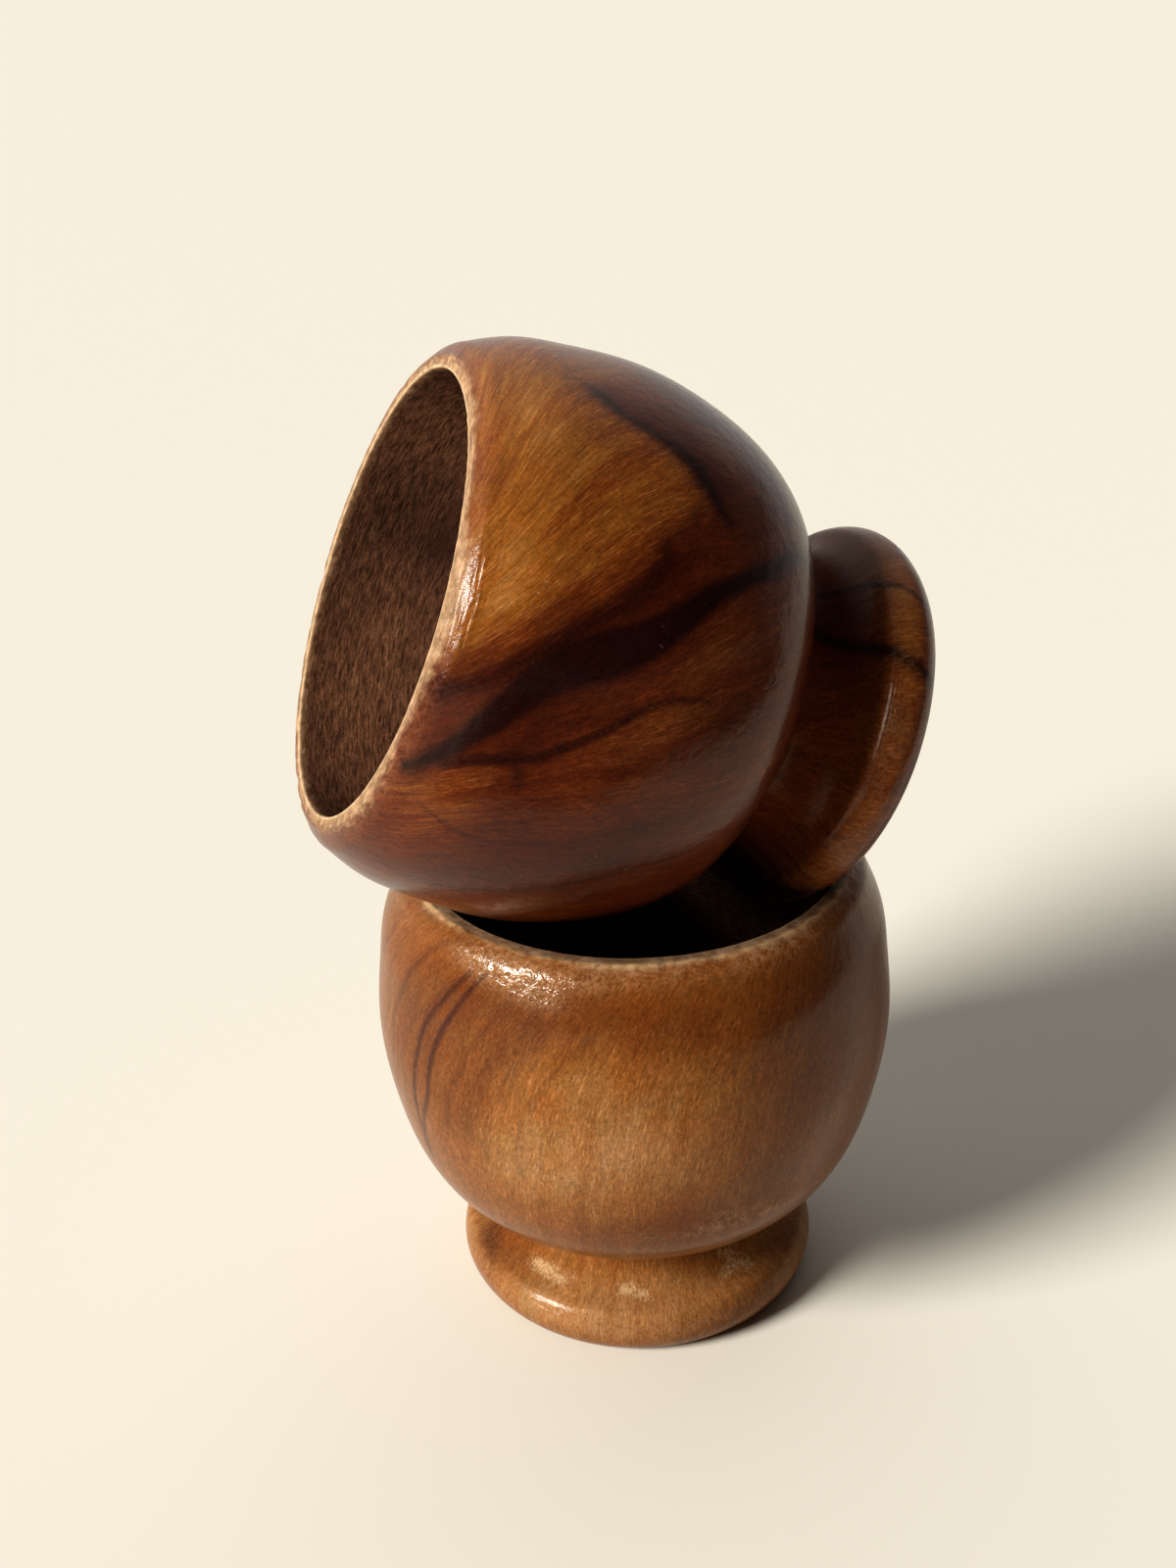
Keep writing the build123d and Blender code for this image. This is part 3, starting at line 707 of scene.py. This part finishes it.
LO_THIN = [
    (0.34, 0.95, [(-128.5, 47.0, .14), (-130.3, 46.0, .22), (-135.3, 43.1, .25), (-140.3, 39.4, .26), (-142.8, 35.3, .25), (-144.4, 31.5, .23), (-144.9, 27.7, .18), (-145.5, 23.0, .08)]),
    (0.32, 1.00, [(-124.4, 47.2, .14), (-125.9, 46.4, .20), (-129.9, 43.7, .24), (-135.3, 39.3, .25), (-137.8, 35.6, .24), (-139.1, 32.0, .20), (-143.4, 27.3, .17), (-144.9, 22.2, .08)]),
    (0.45, 0.50, [(-138.0, 48.4, .15), (-145.2, 45.2, .24), (-149.3, 41.7, .25), (-153.1, 38.0, .22), (-154.1, 34.0, .18), (-155, 28, .1)]),
    (0.50, 0.34, [(-117, 46.0, .12), (-121, 43.0, .16), (-127, 39.0, .16), (-131, 34.5, .14), (-133, 30.0, .1)]),
    (0.55, 0.30, [(-106, 45.0, .12), (-111, 42.0, .16), (-117, 38.0, .16), (-121, 33.5, .14), (-123, 28.0, .1)]),
    (0.55, 0.26, [(-98, 44.0, .12), (-104, 41.0, .16), (-110, 37.0, .16), (-114, 32.0, .14), (-115, 26.0, .1)]),
    (0.45, 0.36, [(-132, 45.6, .12), (-138, 42.4, .16), (-146, 38.0, .16), (-149, 33.0, .14), (-150, 26.0, .1)]),
    (0.45, 0.40, [(-160, 46.5, .15), (-165, 41.5, .2), (-168, 35.5, .2), (-169, 28, .12)]),
    # round the back
    (0.22, 0.80, [(38, 48.2, .15), (31, 43.0, .2), (26, 36.5, .2), (23, 29.5, .18), (23, 22.5, .12)]),
    (0.22, 0.70, [(31, 47.5, .12), (24, 42.0, .16), (19, 35.5, .18), (16, 28.5, .14)]),
    (0.25, 0.60, [(110, 48.0, .15), (104, 42.0, .2), (99, 35.0, .2), (97, 27.5, .15), (98, 20.0, .1)]),
    (0.25, 0.60, [(168, 47.5, .12), (162, 41.5, .18), (158, 35.0, .18), (156, 28.0, .12)]),
    (0.22, 0.70, [(95, 6.8, .2), (93, 4.8, .3), (92, 1.5, .2)]),
]
LO_FIGURE = [
    (-95, 36, 11, 8, .24), (-112, 28, 8, 6, .26), (-84, 30, 9, 5, .08), (-85, 21, 12, 4, -.18),            # pale belly
    (-138, 37, 9, 9, -.15), (-125, 44, 6, 3, -.13), (-100, 46, 10, 2, -.10),        # red arcs and the shoulder
    (-80, 44.0, 15, 3, -.16), (-40, 40, 10, 8, -.17), (-27, 46, 6, 4, -.16), (-58, 30, 8, 6, -.06),           # darker side
    (-116, 5, 6, 2.5, .12), (-69, 3, 5, 2, -.16), (-46, 3, 5, 2, -.18), (-151, 6.4, 7, 2.6, -.32), (-147, 3, 3, 1.5, -.10),
    (30, 36, 12, 12, -.10), (95, 34, 12, 12, .06), (20, 44, 8, 4, -.10),
]
lo_tone = 0.56 + lo.spots(LO_FIGURE) + 0.27 * np.exp(-((lo.z - 4.8) / 3.6) ** 2) * (lo.v < 20)
lva, lvak = lo.lines(LO_BROAD)
lvb, lvbk = lo.lines(LO_THIN)
lean = np.interp(lo.z[:, 0], [0, 10, 24, 38, 44, 48, 50], [0.0, 0.05, 0.10, 0.28, 0.55, 0.7, 0.7])
shear = np.r_[0, np.cumsum(0.5 * (lean[1:] + lean[:-1]) * np.diff(lo.v[:, 0]))][:, None]
shear = shear - shear[np.argmin(np.abs(lo.v[:, 0] - lo.v_of(33.0)))]
turn = np.radians(lo.th) - shear / REF_R
lo_grain = np.stack([REF_R * np.cos(turn), REF_R * np.sin(turn), lo.v + 200.0 + 0 * turn], -1)

ring22 = np.stack([22 * np.cos(np.radians(lo.th)), 22 * np.sin(np.radians(lo.th)), 0 * lo.th], -1)


def lobe(s, mid, half):
    return np.exp(-((wrap(s.th - mid) / half) ** 2))


lip_width = (0.10 + 0.8 * lobe(lo, -153, 11) + 0.40 * lobe(lo, -88, 32) + 0.25 * lobe(lo, -45, 16) + 0.20 * lobe(lo, 90, 40)
             + 0.22 * waves(ring22, 9.0, 75, 2))
lip_left = np.minimum(lo.v - lo.v_lip_out + lip_width, lo.v_lip_in - lo.v + 0.5)
lo_fields = dict(
    grain=lo_grain,
    tone=np.clip(lo_tone, 0.02, 1.0),
    vein_a=lva, vein_ak=lvak, vein_b=lvb, vein_bk=lvbk,
    inside=lo.inside,
    under=(lo.run == "base")[:, None] * np.ones((1, RING)),
    lip=lip_left,
    tick=np.zeros((lo.rows, RING)),
    arris=np.minimum(1.2 * np.exp(-((lo.v - lo.v_lip_out + 0.40) / 0.42) ** 2), 1.0) + 0.3 * np.exp(-((lo.v - lo.v_lip_in - 0.1) / 0.15) ** 2) + 0 * lo.th,
    chip=lo.spots([(-132, 6.5, 1.5, .9, .78), (-126, 6.6, 1.8, 1.0, .84), (-119, 6.2, 1.5, .9, .74), (-94, 6.5, 1.6, .9, .88), (-88, 6.1, 1.3, .8, .82),
                   (-51, 7.7, 1.8, 1.4, .84), (-46, 6.2, 1.5, 1.0, .80), (-55, 6.3, 1.4, .8, .66), (-69, 21.2, 1.2, 2.0, .40), (-62, 21.0, 1.4, 1.9, .40), (-55, 20.7, 1.5, 1.6, .36),
                   (-106, 5.2, .8, .5, .52), (-75, 6.8, 1.2, .6, .5), (30, 5.6, 1.4, .7, .6), (75, 3.0, 1.2, .6, .5), (140, 5.8, 1.6, .6, .6), (100, 31, 1.0, .9, .4), (170, 4.0, 1.1, .6, .5)]),
    # crazed varnish on the shoulder under the rim; the material also paints a pale sheen into the colour there
    crackle_and_sheen=np.clip(lo.spots([(-127, 48.2, 3.2, 1.2, .85), (-119, 48.0, 3.8, 1.7, .95), (-110, 46.6, 2.6, 1.3, .8), (-102, 47.9, 3.0, .7, .5), (-115, 48.5, 5.0, .8, .7)]), 0, 1),
    # rubbed band below the rim; a pale band round the front of the foot, partly painted sheen; scuff strokes on the
    # bottom of the bowl and a long pale line along its lower edge, partly painted highlight
    rub_and_sheen=np.clip(step(-3.4, -0.9, lo.v - lo.v_lip_out) * (1 - step(-0.2, 0.3, lo.v - lo.v_lip_out))
                * (0.10 + 0.75 * lobe(lo, -90, 17) + 0.75 * lobe(lo, -56, 12) + 0.4 * lobe(lo, 60, 40)) + (0.15 + 0.40 * lobe(lo, -84, 24)) * np.exp(-((lo.z - 3.6) / 2.0) ** 2) * (lo.v < 12)
                + lo.spots([(-76, 20.8, .9, 1.3, .55), (-72, 21.4, .8, 1.8, .70), (-69, 21.8, .8, 2.0, .75), (-66, 21.2, .8, 1.8, .65), (-62, 21.5, .9, 1.8, .75),
                            (-58, 20.9, .8, 1.5, .65), (-54, 20.8, .9, 1.4, .60), (-49, 20.6, 1.0, 1.2, .50), (-60, 20.2, 14.0, .7, .50)]), 0, 1),
    stain=np.zeros((lo.rows, RING)),
    dry=np.full((lo.rows, RING), 0.5),
    shine=lo.spots([(-117, 4.0, 7.0, 1.0, .60), (-147, 3.3, 4.0, 1.0, .3), (60, 4.2, 6.0, 1.0, .3)]),
    matte=np.clip(1.1 * np.exp(-((lo.z - 8.2) / 3.2) ** 2) * (lo.v < 20) + lo.spots([(-64, 21.0, 9.0, 2.4, .5)]), 0, 1) + 0 * lo.th,
)
lo_depth = (0.05 * (0.5 + 0.5 * np.sin(np.radians(2 * lo.th + 110) + 0.04 * lo.v)) * np.exp(-((lo.z - 33) / 16) ** 2)
            + dents(lo, 83, 36, ["foot", "bowl"]) + lip_relief(lo, 29, 24) + turning_marks(lo, 8)
            + 0.04 * lo.spots([(-132, 6.4, .9, .5, 1), (-124, 6.3, 1.1, .5, 1), (-92, 6.4, 1.4, .5, 1), (-49, 7.4, 1.1, .8, 1)]))
lo_depth[lo.run == "base"] = np.minimum(lo_depth[lo.run == "base"], 0.012)
lower = cup_mesh("lower_cup_turned", lo, lo_depth, lo_fields, Matrix.Identity(4))

LOWER_LOOK = dict(
    wood=[(0.0, lin(62, 28, 14)), (0.30, lin(95, 50, 20)), (0.50, lin(114, 68, 29)), (0.70, lin(132, 86, 43)), (0.85, lin(144, 102, 61)), (1.0, lin(160, 121, 84))],
    vein=lin(62, 30, 18), vein_thin=lin(62, 28, 16), vein_halo=lin(92, 50, 26), halo=0.40, fray=0.7,
    band=0.30, cloud=0.20, feather=0.28, fibre=0.22, silk=0.42, mottle=0.28, pore=0.14, strand=0.36, stain=lin(92, 44, 24),
    bare=[(0.0, lin(66, 44, 32)), (0.5, lin(96, 68, 48)), (1.0, lin(120, 88, 64))], bare_band=(0.5, 0.5, 0.08),
    bare_fleck=0.30, bare_fleck_colour=lin(166, 134, 104), bare_dark=lin(56, 36, 28),
    under=lin(108, 76, 48), rubbed_and_sheen=lin(166, 128, 96),
    rim=lin(134, 112, 92), rim_dark=lin(96, 76, 60), rim_light=lin(196, 163, 122), rim_cover=0.85, rim_fray=0.8,
    chip=lin(198, 166, 126), rough=0.43, coat=0.46)
lower.data.materials.append(wood("lower_wood_varnished", LOWER_LOOK))
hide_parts("lower_egg_cup")
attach(lower, "lower_cup")


# ---------------------------------------------------------------- floor, light and camera

def floor_piece():
    mesh = bpy.data.meshes.new("floor")
    n, half = 24, 7.0
    xs = np.linspace(-half, half, n + 1)
    verts = [(x, y + 3.0, -0.00006) for y in xs for x in xs]
    faces = [(j * (n + 1) + i, j * (n + 1) + i + 1, (j + 1) * (n + 1) + i + 1, (j + 1) * (n + 1) + i) for j in range(n) for i in range(n)]
    mesh.from_pydata(verts, [], faces)
    o = bpy.data.objects.new("floor", mesh)
    bpy.context.scene.collection.objects.link(o)
    t = Tree("pale_floor")
    t.bsdf.inputs["Base Color"].default_value = lin(232, 229, 219)
    t.bsdf.inputs["Roughness"].default_value = 0.9
    t.bsdf.inputs["Specular IOR Level"].default_value = 0.2
    o.data.materials.append(t.mat)


floor_piece()


def front_card():
    """Black card lying in front of the view, seen only in reflections: it keeps the front of the cups free of floor glare."""
    mesh = bpy.data.meshes.new("front_card")
    mesh.from_pydata([(-0.07, -0.085, 0.0004), (-0.16, -1.5, 0.0004), (3.0, -1.5, 0.0004), (3.0, 0.80, 0.0004), (0.30, 0.03, 0.0004), (0.12, -0.085, 0.0004)], [], [(0, 1, 2, 3, 4, 5)])
    o = bpy.data.objects.new("front_card", mesh)
    bpy.context.scene.collection.objects.link(o)
    t = Tree("black_card")
    t.bsdf.inputs["Base Color"].default_value = (0.01, 0.01, 0.01, 1.0)
    t.bsdf.inputs["Roughness"].default_value = 1.0
    t.bsdf.inputs["Specular IOR Level"].default_value = 0.0
    o.data.materials.append(t.mat)
    o.visible_camera = o.visible_diffuse = o.visible_shadow = o.visible_transmission = o.visible_volume_scatter = False


front_card()

world = bpy.data.worlds.new("studio")
bpy.context.scene.world = world
world.use_nodes = True
bg = world.node_tree.nodes["Background"]
bg.inputs[0].default_value = (1.0, 0.97, 0.93, 1.0)
where = world.node_tree.nodes.new("ShaderNodeTexCoord")
facing = world.node_tree.nodes.new("ShaderNodeVectorMath")
facing.operation = "DOT_PRODUCT"
facing.inputs[1].default_value = (-0.12, 0.97, 0.20)
soft = world.node_tree.nodes.new("ShaderNodeMapRange")
soft.interpolation_type = "SMOOTHSTEP"
for key, val in (("From Min", -0.30), ("From Max", 0.90), ("To Min", 0.015), ("To Max", 0.66)):
    soft.inputs[key].default_value = val
world.node_tree.links.new(where.outputs["Generated"], facing.inputs[0])
world.node_tree.links.new(facing.outputs["Value"], soft.inputs["Value"])


def band_of(direction, low, high):
    d = world.node_tree.nodes.new("ShaderNodeVectorMath")
    d.operation = "DOT_PRODUCT"
    d.inputs[1].default_value = direction
    m = world.node_tree.nodes.new("ShaderNodeMapRange")
    m.interpolation_type = "SMOOTHSTEP"
    for key, val in (("From Min", low), ("From Max", high)):
        m.inputs[key].default_value = val
    world.node_tree.links.new(where.outputs["Generated"], d.inputs[0])
    world.node_tree.links.new(d.outputs["Value"], m.inputs["Value"])
    return m.outputs["Result"]


def times(a, b, op="MULTIPLY"):
    n = world.node_tree.nodes.new("ShaderNodeMath")
    n.operation = op
    for sock, v in zip(n.inputs, (a, b)):
        if isinstance(v, bpy.types.NodeSocket):
            world.node_tree.links.new(v, sock)
        else:
            sock.default_value = v
    return n.outputs[0]


# a dark flag high on the far right: its edge is what shows as the edge of the sheen
flag = times(band_of((0.92, -0.39, 0.0), 0.0, 0.52), band_of((0.0, 0.0, 1.0), 0.16, 0.28))
level = times(soft.outputs["Result"], times(1.0, times(flag, 0.80), "SUBTRACT"))
# the backdrop itself looks pale from every side
path = world.node_tree.nodes.new("ShaderNodeLightPath")
seen = path.outputs["Is Camera Ray"]
level = times(times(level, times(1.0, seen, "SUBTRACT")), times(seen, 0.78), "ADD")
world.node_tree.links.new(level, bg.inputs[1])


def sun(name, azimuth, elevation, power, angle, colour):
    data = bpy.data.lights.new(name, "SUN")
    data.energy, data.angle, data.color = power, math.radians(angle), colour
    o = bpy.data.objects.new(name, data)
    a, e = math.radians(azimuth), math.radians(elevation)
    towards = -Vector((math.cos(e) * math.cos(a), math.cos(e) * math.sin(a), math.sin(e)))
    o.rotation_mode = "QUATERNION"
    o.rotation_quaternion = towards.to_track_quat("-Z", "Y")
    bpy.context.scene.collection.objects.link(o)


sun("key_window", -148, 30, 4.6, 20, (1.0, 0.955, 0.88))

cam = bpy.data.cameras.new("view")
cam_obj = bpy.data.objects.new("view", cam)
bpy.context.scene.collection.objects.link(cam_obj)
right = Vector((0.99959609, 0.01576004, -0.02364914))
down = Vector((-0.01444586, -0.43485369, -0.90038524))
ahead = Vector((-0.02447402, 0.90036320, -0.43445038))
rot = Matrix((right, -down, -ahead)).transposed()
cam_obj.matrix_world = Matrix.Translation(Vector((0.0, -0.15565365, 0.13204352))) @ rot.to_4x4()
cam.sensor_fit = "AUTO"
cam.sensor_width = 36.0
cam.lens = 1775.554 / 1600.0 * 36.0
cam.clip_start, cam.clip_end = 0.01, 50.0
bpy.context.scene.camera = cam_obj
bpy.context.scene.view_settings.view_transform = "Standard"
bpy.context.scene.view_settings.look = "Medium High Contrast"
